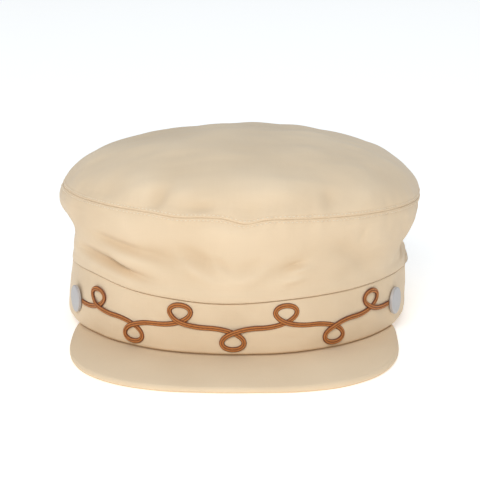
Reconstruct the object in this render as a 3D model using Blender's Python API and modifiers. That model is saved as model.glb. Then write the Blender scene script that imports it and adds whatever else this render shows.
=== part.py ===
"""Soft peaked cap: crown top, side panel, band, peak, two buttons and a corded trim.

Lengths are in millimetres and become metres where a mesh is made. The pieces are
modelled in the cap's own frame: the band's lower edge lies in the plane z = 0, the
front faces -Y and +Z is up. A bearing turns from the front towards +X. An empty
then tips the cap back, so that it stands on the peak's rim and the band's rear edge.
"""
import math
from collections import namedtuple

import bmesh
import bpy
import numpy as np
from mathutils import Matrix, Vector

MM = 0.001

# Band
BAND_HALF_WIDTH = 87.0
BAND_HALF_LENGTH = 99.0
BAND_POWER = 2.12
BAND_WALL = 2.6
BAND_FRONT_HEIGHT = 26.5
BAND_BACK_HEIGHT = 32.0

# Crown, where its cloth is widest, and the dome above that level
CROWN_HALF_WIDTH = 92.4
CROWN_HALF_LENGTH = 98.0
CROWN_POWER = 2.02
CROWN_WALL = 1.2
WIDEST_HEIGHT = 56.0
DOME_RISE = 36.0
DOME_POWER = 2.25
FRONT_LIFT = 5.0
RIGHT_DROP = 2.6
CROWN_SIDE_OFFSET = 1.1
DOME_SIDE_OFFSET = 4.5
DOME_RIGHT_WIDTH = 2.0
SEAM_RISE = 5.5
TUCK_DEPTH = 8.0
LIP_INSET = 0.8
LIP_LIFT = 0.4

# Peak
PEAK_HALF_WIDTH = 80.8
PEAK_HALF_LENGTH = 76.0
PEAK_POWER = 2.65
PEAK_REACH = 39.0
PEAK_DROP = 7.2
PEAK_THICKNESS = 3.5
PEAK_CAMBER_HEIGHT = 1.2

# Buttons, each a disc, a shank through the band and a small back disc
BUTTON_BEARING = math.radians(64.5)
BUTTON_HEIGHT = 13.0
BUTTON_RADIUS = 6.75
BUTTON_THICKNESS = 1.6
BUTTON_EDGE = 0.5
SHANK_RADIUS = 1.4
BACK_RADIUS = 4.0
BACK_THICKNESS = 0.8
SHANK_CLEARANCE = 0.35

# Corded trim, a line of loops alternately above and below its middle line
CORD_RADIUS = 0.65
LOOP_COUNT = 7
LOOP_HEIGHT = 10.5
LOOP_SWING = 11.0
TRIM_END_GAP = 1.0
TRIM_LEAD = 4.2
CROSSING_ANGLE = 0.42

# Clearances and mesh counts
PIECE_GAP = 0.3
SEAM_GAP = 0.5
AROUND = 80
PEAK_STEPS = 40
PEAK_FLAT_STEPS = 3
PEAK_RIM_STEPS = 4
TURN_STEPS = 20
POINTS_PER_LOOP = 18
BAND_ROWS = 3
HOLE_SIDES = 12
STEP_RATIO = 0.002

# Colours as displayed, from 0 to 1
CANVAS = (0.90, 0.82, 0.70)
METAL_GREY = (0.72, 0.68, 0.66)
COPPER_BROWN = (0.66, 0.41, 0.23)

# height is the share of the way from the band's top edge to the widest level, and
# spread the share of the way from the outline at the band's edge to the widest one.
SideLevel = namedtuple("SideLevel", "height spread")
SIDE_LEVELS = (
    SideLevel(0.00, 0.00),
    SideLevel(0.12, -0.07),
    SideLevel(0.30, 0.03),
    SideLevel(0.45, 0.22),
    SideLevel(0.58, 0.46),
    SideLevel(0.72, 0.72),
    SideLevel(0.88, 0.93),
    SideLevel(1.00, 1.00),
)

# A fold runs from one bearing (degrees) and height to another. Heights are shares of
# the side panel from the band to the seam, width and depth shares of its height, and
# ridge is how far the cloth rolls out under the crease, as a share of the depth. The
# roll lies FOLD_RIDGE_RATIO widths from the crease, and a fold fades out at
# FOLD_OVERRUN_RATIO times its half length.
SideFold = namedtuple("SideFold", "bearing_1 height_1 bearing_2 height_2 width depth ridge")
SIDE_FOLDS = (
    SideFold(-76, 0.32, -34, 0.17, 0.080, 0.060, 0.7),
    SideFold(-54, 0.56, -24, 0.40, 0.085, 0.045, 0.7),
    SideFold(-17, 0.64, -3, 0.36, 0.090, 0.030, 0.7),
    SideFold(-3, 0.36, 10, 0.50, 0.080, 0.026, 0.7),
    SideFold(6, 0.22, 25, 0.57, 0.090, 0.034, 0.7),
    SideFold(30, 0.64, 46, 0.44, 0.110, 0.024, 0.7),
    SideFold(68, 0.34, 92, 0.26, 0.100, 0.040, 0.4),
    SideFold(-122, 0.44, -66, 0.50, 0.170, 0.180, 0.0),
    SideFold(112, 0.46, 150, 0.30, 0.110, 0.045, 0.7),
    SideFold(-128, 0.28, -160, 0.50, 0.110, 0.045, 0.7),
    SideFold(166, 0.62, 196, 0.36, 0.120, 0.035, 0.7),
)

FOLD_RIDGE_RATIO = 1.7
FOLD_OVERRUN_RATIO = 1.3

# A dent or puff of the crown's top. inward is its distance from the seam as a share
# of the dome's quarter turn, width, length and lift are shares of the crown's half width.
TopPuff = namedtuple("TopPuff", "bearing inward width length lift")
TOP_PUFFS = (
    TopPuff(-33.0, 0.20, 0.085, 0.110, 0.020),
    TopPuff(-26.5, 0.13, 0.045, 0.110, -0.026),
    TopPuff(-18.5, 0.19, 0.085, 0.090, 0.016),
    TopPuff(-11.0, 0.09, 0.080, 0.050, -0.014),
    TopPuff(2.5, 0.09, 0.090, 0.070, -0.014),
    TopPuff(8.0, 0.26, 0.150, 0.110, 0.020),
    TopPuff(29.0, 0.15, 0.060, 0.090, -0.016),
    TopPuff(42.0, 0.14, 0.100, 0.090, 0.010),
    TopPuff(118.0, 0.22, 0.160, 0.120, -0.014),
    TopPuff(-128.0, 0.20, 0.160, 0.120, -0.016),
    TopPuff(168.0, 0.24, 0.180, 0.120, 0.014),
    TopPuff(-138.0, 0.52, 0.420, 0.300, -0.018),
    TopPuff(150.0, 0.55, 0.350, 0.300, -0.007),
)

# Where the seam sags: bearing and spread in degrees, drop as a share of SEAM_RISE.
SeamDip = namedtuple("SeamDip", "bearing spread drop")
SEAM_DIPS = (
    SeamDip(-18.0, 6.0, 0.18),
    SeamDip(2.5, 4.5, 0.42),
    SeamDip(140.0, 14.0, 0.20),
)

# Folds fade in over these levels from the band and the seam, and puffs from the seam
# and from the top of the dome.
BAND_HOLD_RATIO = 0.15
SEAM_HOLD_RATIO = 0.8
PUFF_HOLD_RATIO = 0.06
POLE_HOLD_RATIO = 0.3

# Rows of the two crown panels. -1 is the tucked edge and CREASE_ROW where the cloth
# comes out of the band. 0 is its lip over the band's edge, 1 the widest level, 2 the
# seam and 3 the top of the dome.
CREASE_ROW = -0.2
SIDE_ROWS = (-1.0, CREASE_ROW, 0.0, 0.10, 0.22, 0.34, 0.46, 0.58, 0.70, 0.84, 1.0, 1.5, 1.88, 2.0)
TOP_ROWS = (2.0, 2.02, 2.07, 2.13, 2.20, 2.29, 2.41, 2.60, 2.80, 3.0)

PEAK_FRONT = BAND_HALF_LENGTH + PEAK_REACH
PEAK_CENTRE = PEAK_HALF_LENGTH - PEAK_FRONT
REST_TILT = math.atan2(PEAK_DROP, PEAK_FRONT + BAND_HALF_LENGTH)
TUCK_INSET = BAND_WALL + PIECE_GAP
SIDE_HEIGHT = WIDEST_HEIGHT + SEAM_RISE + FRONT_LIFT - BAND_FRONT_HEIGHT


def smooth_step(value):
    """Rise smoothly from 0 to 1 as the value does."""
    value = min(max(value, 0.0), 1.0)
    return value * value * (3.0 - 2.0 * value)


def smooth_between(xs, ys, x):
    """Read a table smoothly: a cubic piece between each two rows."""
    slopes = np.gradient(ys, xs)
    last = len(xs) - 2
    row = min(max(int(np.searchsorted(xs, x)) - 1, 0), last)
    step = xs[row + 1] - xs[row]
    part = (x - xs[row]) / step
    ease = part * part * (3.0 - 2.0 * part)
    leave = part * (1.0 - part) ** 2 * slopes[row]
    arrive = part * part * (part - 1.0) * slopes[row + 1]
    return ys[row] + (ys[row + 1] - ys[row]) * ease + step * (leave + arrive)


def plan_point(bearing, half_width, half_length, power):
    """A point of a superellipse at a bearing from the front."""
    across, along = math.sin(bearing), math.cos(bearing)
    x = half_width * math.copysign(abs(across) ** (2.0 / power), across)
    y = -half_length * math.copysign(abs(along) ** (2.0 / power), along)
    return Vector((x, y, 0.0))


def plan_normal(point, half_width, half_length, power):
    """The outward direction of a superellipse at one of its points."""
    x = math.copysign(abs(point.x / half_width) ** (power - 1.0), point.x) / half_width
    y = math.copysign(abs(point.y / half_length) ** (power - 1.0), point.y) / half_length
    return Vector((x, y, 0.0)).normalized()


def degrees_apart(bearing, degrees):
    """The turn from a bearing in degrees to one in radians, within half a turn."""
    return (math.degrees(bearing) - degrees + 180.0) % 360.0 - 180.0


def band_top(bearing):
    """The height of the band's top edge, lowest at the front."""
    back_share = 0.5 - 0.5 * math.cos(bearing)
    return BAND_FRONT_HEIGHT + (BAND_BACK_HEIGHT - BAND_FRONT_HEIGHT) * back_share


def seam_rise(bearing):
    """The seam's height over the widest level, with its sags."""
    rise = SEAM_RISE
    for dip in SEAM_DIPS:
        off = degrees_apart(bearing, dip.bearing) / dip.spread
        rise -= SEAM_RISE * dip.drop * math.exp(-off * off)
    return rise


def crown_base(bearing, level):
    """A point of the crown before its folds, for a level as in SIDE_ROWS and TOP_ROWS."""
    tucked = plan_point(bearing, BAND_HALF_WIDTH - TUCK_INSET, BAND_HALF_LENGTH - TUCK_INSET,
                        BAND_POWER)
    lip = plan_point(bearing, BAND_HALF_WIDTH - LIP_INSET, BAND_HALF_LENGTH - LIP_INSET, BAND_POWER)
    widest = plan_point(bearing, CROWN_HALF_WIDTH, CROWN_HALF_LENGTH, CROWN_POWER)
    widest.x += CROWN_SIDE_OFFSET
    crease_height = band_top(bearing) + PIECE_GAP
    lip_height = crease_height + LIP_LIFT
    if level <= CREASE_ROW:
        part = (level + 1.0) / (CREASE_ROW + 1.0)
        return Vector((tucked.x, tucked.y, crease_height - (1.0 - part) * TUCK_DEPTH))
    if level <= 0.0:
        part = 1.0 - level / CREASE_ROW
        point = tucked.lerp(lip, part)
        point.z = crease_height + part * LIP_LIFT
        return point
    if level <= 1.0:
        heights = [row.height for row in SIDE_LEVELS]
        spreads = [row.spread for row in SIDE_LEVELS]
        point = lip.lerp(widest, smooth_between(heights, spreads, level))
        point.z = lip_height + level * (WIDEST_HEIGHT - lip_height)
        lean = level
    else:
        seam_angle = math.asin((seam_rise(bearing) / DOME_RISE) ** (DOME_POWER / 2.0))
        if level <= 2.0:
            angle = (level - 1.0) * seam_angle
        else:
            angle = seam_angle + (level - 2.0) * (math.pi / 2.0 - seam_angle)
        point = widest * max(math.cos(angle), 0.0) ** (2.0 / DOME_POWER)
        point.x += DOME_SIDE_OFFSET * math.sin(angle) + DOME_RIGHT_WIDTH * math.sin(2.0 * angle)
        point.z = WIDEST_HEIGHT + DOME_RISE * math.sin(angle) ** (2.0 / DOME_POWER)
        lean = 1.0
    point.z -= lean * FRONT_LIFT * point.y / CROWN_HALF_LENGTH
    point.z -= lean * RIGHT_DROP * point.x / CROWN_HALF_WIDTH
    return point


def fold_depth(fold, bearing, share):
    """How far one fold moves the side panel outwards."""
    run = math.radians(fold.bearing_2 - fold.bearing_1) * CROWN_HALF_WIDTH
    climb = (fold.height_2 - fold.height_1) * SIDE_HEIGHT
    length = math.hypot(run, climb)
    middle = (fold.bearing_1 + fold.bearing_2) / 2.0
    x = math.radians(degrees_apart(bearing, middle)) * CROWN_HALF_WIDTH
    y = (share - (fold.height_1 + fold.height_2) / 2.0) * SIDE_HEIGHT
    along = (x * run + y * climb) / length / (length / 2.0)
    across = (y * run - x * climb) / length / math.copysign(fold.width * SIDE_HEIGHT, run)
    if abs(along) >= FOLD_OVERRUN_RATIO:
        return 0.0
    fade = math.cos(along / FOLD_OVERRUN_RATIO * math.pi / 2.0) ** 2
    crease = math.exp(-across * across)
    ridge = fold.ridge * math.exp(-(across + FOLD_RIDGE_RATIO) ** 2)
    return (ridge - crease) * fade * fold.depth * SIDE_HEIGHT


def puff_lift(puff, bearing, level, radius):
    """How far one puff or dent moves the crown's top outwards."""
    x = math.radians(degrees_apart(bearing, puff.bearing)) * radius
    y = (level - 2.0 - puff.inward) * CROWN_HALF_WIDTH
    off = math.hypot(x / (puff.width * CROWN_HALF_WIDTH), y / (puff.length * CROWN_HALF_WIDTH))
    return puff.lift * CROWN_HALF_WIDTH * math.exp(-off * off)


def crown_point(bearing, level):
    """A point of the crown's outer surface, folds and puffs included."""
    point = crown_base(bearing, level)
    if level <= 0.0:
        return point
    if level <= 2.0:
        seam_height = crown_base(bearing, 2.0).z
        share = (point.z - band_top(bearing)) / (seam_height - band_top(bearing))
        hold = smooth_step(level / BAND_HOLD_RATIO) * smooth_step((2.0 - level) / SEAM_HOLD_RATIO)
        shift = hold * sum(fold_depth(fold, bearing, share) for fold in SIDE_FOLDS)
    else:
        hold = smooth_step((level - 2.0) / PUFF_HOLD_RATIO) * smooth_step((3.0 - level) / POLE_HOLD_RATIO)
        radius = max(math.hypot(point.x, point.y), 1.0)
        shift = hold * sum(puff_lift(puff, bearing, level, radius) for puff in TOP_PUFFS)
    step = STEP_RATIO
    inner = min(level, 3.0 - step)
    around = crown_base(bearing + step, inner) - crown_base(bearing - step, inner)
    upward = crown_base(bearing, inner + step / 2.0) - crown_base(bearing, inner - step / 2.0)
    return point + around.cross(upward).normalized() * shift


def material(name, colour, roughness, metallic):
    """A Principled material in a displayed colour."""
    made = bpy.data.materials.new(name)
    made.use_nodes = True
    shader = made.node_tree.nodes["Principled BSDF"]
    linear = [((c + 0.055) / 1.055) ** 2.4 for c in colour]
    shader.inputs["Base Color"].default_value = (*linear, 1.0)
    shader.inputs["Roughness"].default_value = roughness
    shader.inputs["Metallic"].default_value = metallic
    return made


def place(name, data, collection, parent, finish):
    """Make an object of a mesh or curve, under the empty that sets the cap down."""
    made = bpy.data.objects.new(name, data)
    collection.objects.link(made)
    made.parent = parent
    made.data.materials.append(finish)
    return made


def mapped_grid(name, columns, rows, position, close_ends=False):
    """A grid laid on a surface: position gives a point from two shares, 0 to 1."""
    mesh = bpy.data.meshes.new(name)
    work = bmesh.new()
    bmesh.ops.create_grid(work, x_segments=columns, y_segments=rows, size=0.5)
    for vertex in work.verts:
        vertex.co = position(vertex.co.x + 0.5, vertex.co.y + 0.5) * MM
    bmesh.ops.remove_doubles(work, verts=work.verts, dist=1e-6)
    if close_ends:
        rim = [edge for edge in work.edges if edge.is_boundary]
        bmesh.ops.holes_fill(work, edges=rim, sides=0)
        bmesh.ops.recalc_face_normals(work, faces=work.faces)
    work.to_mesh(mesh)
    work.free()
    mesh.shade_smooth()
    mesh.set_sharp_from_angle(angle=math.radians(50))
    return mesh


def row_at(rows, share):
    """The level at a share of the way through a list of rows."""
    return float(np.interp(share * (len(rows) - 1), range(len(rows)), rows))


def solidify(piece, wall):
    """Give an open surface a wall on its inner side."""
    shell = piece.modifiers.new("wall", "SOLIDIFY")
    shell.thickness = wall * MM
    shell.offset = -1.0
    shell.use_even_offset = True


def make_crown_side(collection, parent, finish):
    """The side panel, from its edge tucked inside the band up to the seam."""
    seam_inset = SEAM_GAP / 2.0 / SEAM_RISE

    def position(around, up):
        level = row_at(SIDE_ROWS, up)
        if level == SIDE_ROWS[-1]:
            level -= seam_inset
        return crown_point(around * math.tau, level)

    mesh = mapped_grid("crown_side", AROUND, len(SIDE_ROWS) - 1, position)
    piece = place("crown_side", mesh, collection, parent, finish)
    solidify(piece, CROWN_WALL)
    return piece


def make_crown_top(collection, parent, finish):
    """The domed top panel, inside the seam."""
    seam_inset = SEAM_GAP / (math.pi * DOME_RISE)

    def position(around, up):
        level = row_at(TOP_ROWS, up)
        if level == TOP_ROWS[0]:
            level += seam_inset
        return crown_point(around * math.tau, level)

    mesh = mapped_grid("crown_top", AROUND, len(TOP_ROWS) - 1, position)
    piece = place("crown_top", mesh, collection, parent, finish)
    solidify(piece, CROWN_WALL)
    return piece


def button_frame(side):
    """The matrix of a button: its origin on the band's outer wall, +Z pointing out."""
    outline = (BAND_HALF_WIDTH, BAND_HALF_LENGTH, BAND_POWER)
    seat = plan_point(side * BUTTON_BEARING, *outline)
    outward = plan_normal(seat, *outline)
    seat.z = BUTTON_HEIGHT
    return Matrix.Translation(seat * MM) @ outward.to_track_quat("Z", "Y").to_matrix().to_4x4()


def make_band(collection, cutters, parent, finish):
    """The band: a plain wall with a hole for each button's shank."""

    def position(around, up):
        bearing = around * math.tau
        point = plan_point(bearing, BAND_HALF_WIDTH, BAND_HALF_LENGTH, BAND_POWER)
        point.z = up * band_top(bearing)
        return point

    piece = place("band", mapped_grid("band", AROUND, BAND_ROWS, position), collection, parent, finish)
    solidify(piece, BAND_WALL)
    for side, name in ((-1, "hole_cutter_left"), (1, "hole_cutter_right")):
        mesh = bpy.data.meshes.new(name)
        work = bmesh.new()
        bmesh.ops.create_cone(work, cap_ends=True, segments=HOLE_SIDES, depth=4.0 * BAND_WALL * MM,
                              radius1=(SHANK_RADIUS + SHANK_CLEARANCE) * MM,
                              radius2=(SHANK_RADIUS + SHANK_CLEARANCE) * MM)
        work.to_mesh(mesh)
        work.free()
        cutter = place(name, mesh, cutters, parent, finish)
        cutter.matrix_local = button_frame(side)
        cutter.hide_render = True
        cutter.display_type = "WIRE"
        cut = piece.modifiers.new(name, "BOOLEAN")
        cut.operation = "DIFFERENCE"
        cut.solver = "EXACT"
        cut.object = cutter
    return piece


def outline_crossing():
    """The bearings, on the peak's outline and on the band's, where the two meet."""
    low, high = math.radians(60.0), math.radians(130.0)
    for _ in range(50):
        middle = (low + high) / 2.0
        point = plan_point(middle, PEAK_HALF_WIDTH, PEAK_HALF_LENGTH, PEAK_POWER)
        x_share = abs(point.x) / BAND_HALF_WIDTH
        y_share = abs(point.y + PEAK_CENTRE) / BAND_HALF_LENGTH
        if x_share ** BAND_POWER + y_share ** BAND_POWER > 1.0:
            low = middle
        else:
            high = middle
    reach = min(point.x / BAND_HALF_WIDTH, 1.0)
    band_bearing = math.asin(reach ** (BAND_POWER / 2.0))
    if point.y + PEAK_CENTRE > 0.0:
        band_bearing = math.pi - band_bearing
    return low, band_bearing


def peak_section():
    """The peak's closed section, root to rim to root: pairs of a flat step and a bend.

    Flat step 0 is the root, 1 the band's outer wall and PEAK_FLAT_STEPS the rim.
    The bend is the direction that the surface faces there, -90 down and 90 up.
    """
    down, up = -math.pi / 2.0, math.pi / 2.0
    under = [(step, down) for step in range(PEAK_FLAT_STEPS)]
    above = [(step, up) for step in reversed(range(PEAK_FLAT_STEPS))]
    bends = [down + math.pi * step / PEAK_RIM_STEPS for step in range(PEAK_RIM_STEPS + 1)]
    return under + [(PEAK_FLAT_STEPS, bend) for bend in bends] + above + under[:1]


def make_peak(collection, parent, finish):
    """The peak: its root under the band, its rim in the plane that it rests on."""
    peak_end, band_end = outline_crossing()
    section = peak_section()
    radius = PEAK_THICKNESS / 2.0
    fall = PEAK_DROP / (PEAK_FRONT + BAND_HALF_LENGTH)

    def position(along, around):
        side = 2.0 * along - 1.0
        rim = plan_point(side * peak_end, PEAK_HALF_WIDTH, PEAK_HALF_LENGTH, PEAK_POWER)
        rim.y += PEAK_CENTRE
        rim.z = radius - fall * (BAND_HALF_LENGTH - rim.y)
        root = plan_point(side * band_end, BAND_HALF_WIDTH - BAND_WALL, BAND_HALF_LENGTH - BAND_WALL,
                          BAND_POWER)
        root.z = -PIECE_GAP - radius
        step, bend = section[round(around * (len(section) - 1))]
        width = (rim - root).length
        covered = min(BAND_WALL / width, 1.0)
        shown = max(step - 1, 0) / (PEAK_FLAT_STEPS - 1)
        share = covered + (1.0 - covered) * shown if step else 0.0
        inward = (root - rim).normalized()
        point = root.lerp(rim + inward * radius, share) - inward * radius * math.cos(bend)
        camber = PEAK_CAMBER_HEIGHT * min((1.0 - covered) * width / PEAK_REACH, 1.0)
        point.z += radius * math.sin(bend) + camber * math.sin(math.pi * shown)
        return point

    mesh = mapped_grid("peak", PEAK_STEPS, len(section) - 1, position, close_ends=True)
    return place("peak", mesh, collection, parent, finish)


def make_button(side, name, collection, parent, finish):
    """One button, turned round the axis of its shank."""
    base = PIECE_GAP
    top = base + BUTTON_THICKNESS
    back = -BAND_WALL - PIECE_GAP
    profile = (
        (0.0, top),
        (BUTTON_RADIUS - BUTTON_EDGE, top - BUTTON_EDGE / 4.0),
        (BUTTON_RADIUS, top - BUTTON_EDGE),
        (BUTTON_RADIUS, base + BUTTON_EDGE / 2.0),
        (BUTTON_RADIUS - BUTTON_EDGE / 2.0, base),
        (SHANK_RADIUS, base),
        (SHANK_RADIUS, back),
        (BACK_RADIUS, back),
        (BACK_RADIUS, back - BACK_THICKNESS),
        (0.0, back - BACK_THICKNESS),
    )
    mesh = bpy.data.meshes.new(name)
    work = bmesh.new()
    corners = [work.verts.new(Vector((radius, 0.0, height)) * MM) for radius, height in profile]
    for first, second in zip(corners, corners[1:]):
        work.edges.new((first, second))
    work.to_mesh(mesh)
    work.free()
    piece = place(name, mesh, collection, parent, finish)
    piece.matrix_local = button_frame(side)
    turn = piece.modifiers.new("turn", "SCREW")
    turn.axis = "Z"
    turn.steps = TURN_STEPS
    turn.render_steps = TURN_STEPS
    turn.use_merge_vertices = True
    turn.merge_threshold = 1e-5
    return piece


def band_bearings():
    """Bearings from side to side and their lengths along the band from its front."""
    bearings = np.linspace(-math.pi / 2.0, math.pi / 2.0, 721)
    points = [plan_point(b, BAND_HALF_WIDTH, BAND_HALF_LENGTH, BAND_POWER) for b in bearings]
    steps = [(after - before).length for before, after in zip(points, points[1:])]
    lengths = np.concatenate(([0.0], np.cumsum(steps)))
    return bearings, lengths - lengths[-1] / 2.0


def loop_crossing(spacing):
    """The phase at which a loop first passes the place where it crosses itself."""
    furthest = math.acos(-min(spacing / (math.tau * LOOP_SWING), 1.0))
    low, high = 0.0, furthest
    for _ in range(50):
        middle = (low + high) / 2.0
        x = spacing * middle / math.tau + LOOP_SWING * math.sin(middle)
        if x < spacing / 2.0:
            low = middle
        else:
            high = middle
    return low


def trim_path(half_run):
    """The cord's places along the band, over its middle line and off its wall."""
    start = TRIM_LEAD - half_run
    spacing = -2.0 * start / LOOP_COUNT
    crossing = math.tau - loop_crossing(spacing)
    lift = 2.0 * CORD_RADIUS + PIECE_GAP
    places = [(-half_run, 0.0, 0.0)]
    for loop in range(LOOP_COUNT):
        way = 1.0 if loop % 2 == 0 else -1.0
        for step in range(POINTS_PER_LOOP):
            phase = math.tau * step / POINTS_PER_LOOP
            x = spacing * (loop + phase / math.tau) + LOOP_SWING * math.sin(phase)
            y = way * LOOP_HEIGHT * (1.0 - math.cos(phase)) / 2.0
            over = (phase - crossing) / CROSSING_ANGLE
            places.append((start + x, y, lift * math.exp(-over * over)))
    places.append((-start, 0.0, 0.0))
    places.append((half_run, 0.0, 0.0))
    return places


def make_trim(collection, parent, finish):
    """The corded trim on the front of the band, between the buttons."""
    bearings, lengths = band_bearings()
    half_run = float(np.interp(BUTTON_BEARING, bearings, lengths)) - BUTTON_RADIUS - TRIM_END_GAP
    outline = (BAND_HALF_WIDTH, BAND_HALF_LENGTH, BAND_POWER)
    curve = bpy.data.curves.new("corded_trim", "CURVE")
    curve.dimensions = "3D"
    curve.bevel_depth = CORD_RADIUS * MM
    curve.bevel_resolution = 2
    curve.use_fill_caps = True
    places = trim_path(half_run)
    spline = curve.splines.new("POLY")
    spline.points.add(len(places) - 1)
    for knot, (run, height, off) in zip(spline.points, places):
        seat = plan_point(float(np.interp(run, lengths, bearings)), *outline)
        seat += plan_normal(seat, *outline) * (PIECE_GAP + CORD_RADIUS + off)
        seat.z = BAND_FRONT_HEIGHT / 2.0 + height
        knot.co = (*(seat * MM), 1.0)
    return place("corded_trim", curve, collection, parent, finish)


def set_down(rest, pieces):
    """Tip the cap onto the peak's rim and centre its footprint on the origin."""
    turn = Matrix.Rotation(-REST_TILT, 3, "X")
    corners = np.array([turn @ vertex.co for piece in pieces for vertex in piece.data.vertices])
    middle = (corners.min(axis=0) + corners.max(axis=0)) / 2.0
    rest.rotation_euler = (-REST_TILT, 0.0, 0.0)
    rest.location = (-middle[0], -middle[1], BAND_HALF_LENGTH * MM * math.sin(REST_TILT))


def main():
    for old in list(bpy.data.objects):
        bpy.data.objects.remove(old)
    scene = bpy.context.scene
    parts = bpy.data.collections.new("peaked_cap")
    cutters = bpy.data.collections.new("cutters")
    scene.collection.children.link(parts)
    scene.collection.children.link(cutters)
    rest = bpy.data.objects.new("cap_at_rest", None)
    parts.objects.link(rest)

    crown_side = make_crown_side(parts, rest, material("crown_side_canvas", CANVAS, 0.9, 0.0))
    crown_top = make_crown_top(parts, rest, material("crown_top_canvas", CANVAS, 0.9, 0.0))
    band = make_band(parts, cutters, rest, material("band_canvas", CANVAS, 0.9, 0.0))
    peak = make_peak(parts, rest, material("peak_canvas", CANVAS, 0.85, 0.0))
    for side, name in ((-1, "button_left"), (1, "button_right")):
        make_button(side, name, parts, rest, material(name + "_metal", METAL_GREY, 0.45, 0.6))
    make_trim(parts, rest, material("trim_cord", COPPER_BROWN, 0.7, 0.0))
    set_down(rest, (crown_side, crown_top, band, peak))


main()
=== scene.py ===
"""Cloth, cord and buttons of a soft peaked cap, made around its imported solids.

The file is laid out as an add-on and is run as a script. Lengths are in millimetres in
the cap's own frame, where the band's lower edge lies in the plane z = 0, the front faces
-Y and +Z is up. A bearing turns from the front towards +X. They become metres, in the
place where the solids stand, when a mesh is made.
"""
import math
from collections import namedtuple

import bmesh
import bpy
import numpy as np
from bpy.props import FloatProperty, FloatVectorProperty, PointerProperty
from mathutils import Matrix, Vector


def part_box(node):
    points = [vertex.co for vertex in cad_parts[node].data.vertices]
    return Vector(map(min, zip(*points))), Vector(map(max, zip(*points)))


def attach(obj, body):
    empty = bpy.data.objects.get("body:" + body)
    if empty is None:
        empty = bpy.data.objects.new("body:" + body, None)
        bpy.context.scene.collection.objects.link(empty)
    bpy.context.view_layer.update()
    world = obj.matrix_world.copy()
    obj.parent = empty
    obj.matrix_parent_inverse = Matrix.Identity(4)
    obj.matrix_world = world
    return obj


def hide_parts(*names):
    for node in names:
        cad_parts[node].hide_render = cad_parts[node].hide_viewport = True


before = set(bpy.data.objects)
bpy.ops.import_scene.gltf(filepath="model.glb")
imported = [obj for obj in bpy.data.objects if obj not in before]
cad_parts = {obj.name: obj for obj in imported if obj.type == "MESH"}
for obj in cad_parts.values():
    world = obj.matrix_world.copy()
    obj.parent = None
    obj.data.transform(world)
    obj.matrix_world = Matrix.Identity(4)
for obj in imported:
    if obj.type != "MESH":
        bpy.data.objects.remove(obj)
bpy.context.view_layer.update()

bl_info = {
    "name": "Soft Peaked Cap",
    "version": (1, 0, 0),
    "blender": (4, 5, 0),
    "location": "View3D > Sidebar > Cap",
    "description": "Makes the cloth, cord, buttons and stage of a soft peaked cap",
    "category": "Add Mesh",
}

MM = 0.001

# Shape of the solids, repeated here so that the cloth lies where they do
BAND_HALF_WIDTH = 87.0
BAND_HALF_LENGTH = 99.0
BAND_POWER = 2.12
BAND_WALL = 2.6
BAND_FRONT_HEIGHT = 26.5
BAND_BACK_HEIGHT = 32.0
CROWN_HALF_WIDTH = 92.4
CROWN_HALF_LENGTH = 98.0
CROWN_POWER = 2.02
CROWN_WALL = 1.2
WIDEST_HEIGHT = 56.0
DOME_RISE = 36.0
DOME_POWER = 2.25
FRONT_LIFT = 5.0
RIGHT_DROP = 2.6
CROWN_SIDE_OFFSET = 1.1
DOME_SIDE_OFFSET = 4.5
DOME_RIGHT_WIDTH = 2.0
SEAM_RISE = 5.5
TUCK_DEPTH = 8.0
LIP_INSET = 0.8
LIP_LIFT = 0.4
PEAK_HALF_WIDTH = 80.8
PEAK_HALF_LENGTH = 76.0
PEAK_POWER = 2.65
PEAK_REACH = 39.0
PEAK_DROP = 7.2
PEAK_THICKNESS = 3.5
BUTTON_BEARING = math.radians(64.5)
BUTTON_HEIGHT = 13.0
BUTTON_RADIUS = 6.75
BUTTON_THICKNESS = 1.6
SHANK_RADIUS = 1.4
BACK_RADIUS = 4.0
BACK_THICKNESS = 0.8
LOOP_COUNT = 7
LOOP_HEIGHT = 10.5
LOOP_SWING = 11.0
TRIM_END_GAP = 1.0
TRIM_LEAD = 4.2
CROSSING_ANGLE = 0.42
PIECE_GAP = 0.3
CREASE_ROW = -0.2
PEAK_FRONT = BAND_HALF_LENGTH + PEAK_REACH
PEAK_CENTRE = PEAK_HALF_LENGTH - PEAK_FRONT
REST_TILT = math.atan2(PEAK_DROP, PEAK_FRONT + BAND_HALF_LENGTH)
TUCK_INSET = BAND_WALL + PIECE_GAP
SIDE_HEIGHT = WIDEST_HEIGHT + SEAM_RISE + FRONT_LIFT - BAND_FRONT_HEIGHT

# How folds, puffs and waves run out: spans of level, and shares of a fold's own width or length
BAND_HOLD = 0.15
SEAM_HOLD = 0.8
PUFF_HOLD = 0.06
POLE_HOLD = 0.3
LIP_HOLD = 0.1
FOLD_RIDGE_PLACE = 1.7
FOLD_OVERRUN = 1.3

# The crown's lean and overhang, which the solids leave out: lengths in mm, bearings and
# spreads in degrees, levels and spans of level, and one share
LEFT_LEAN = 1.9
LEAN_BEARING = -98.0
LEAN_SPREAD = 42.0
LEAN_START = 6.0
LEAN_CLIMB = 22.0
LEAN_FROM_LEVEL = -0.4
LEAN_IN_SPAN = 0.3
LEAN_OUT_SPAN = 0.9
OVERHANG = 1.7
OVERHANG_DROOP = 2.0
HANG_LEVEL = 0.05
HANG_SPAN = 0.08
DROOP_LEVEL = 0.03
DROOP_SPAN = 0.05
FRONT_SHARE = 0.5
RIGHT_HANG_START = 70.0
RIGHT_HANG_TURN = 16.0
LEFT_HANG_START = 120.0
LEFT_HANG_TURN = 20.0

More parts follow.
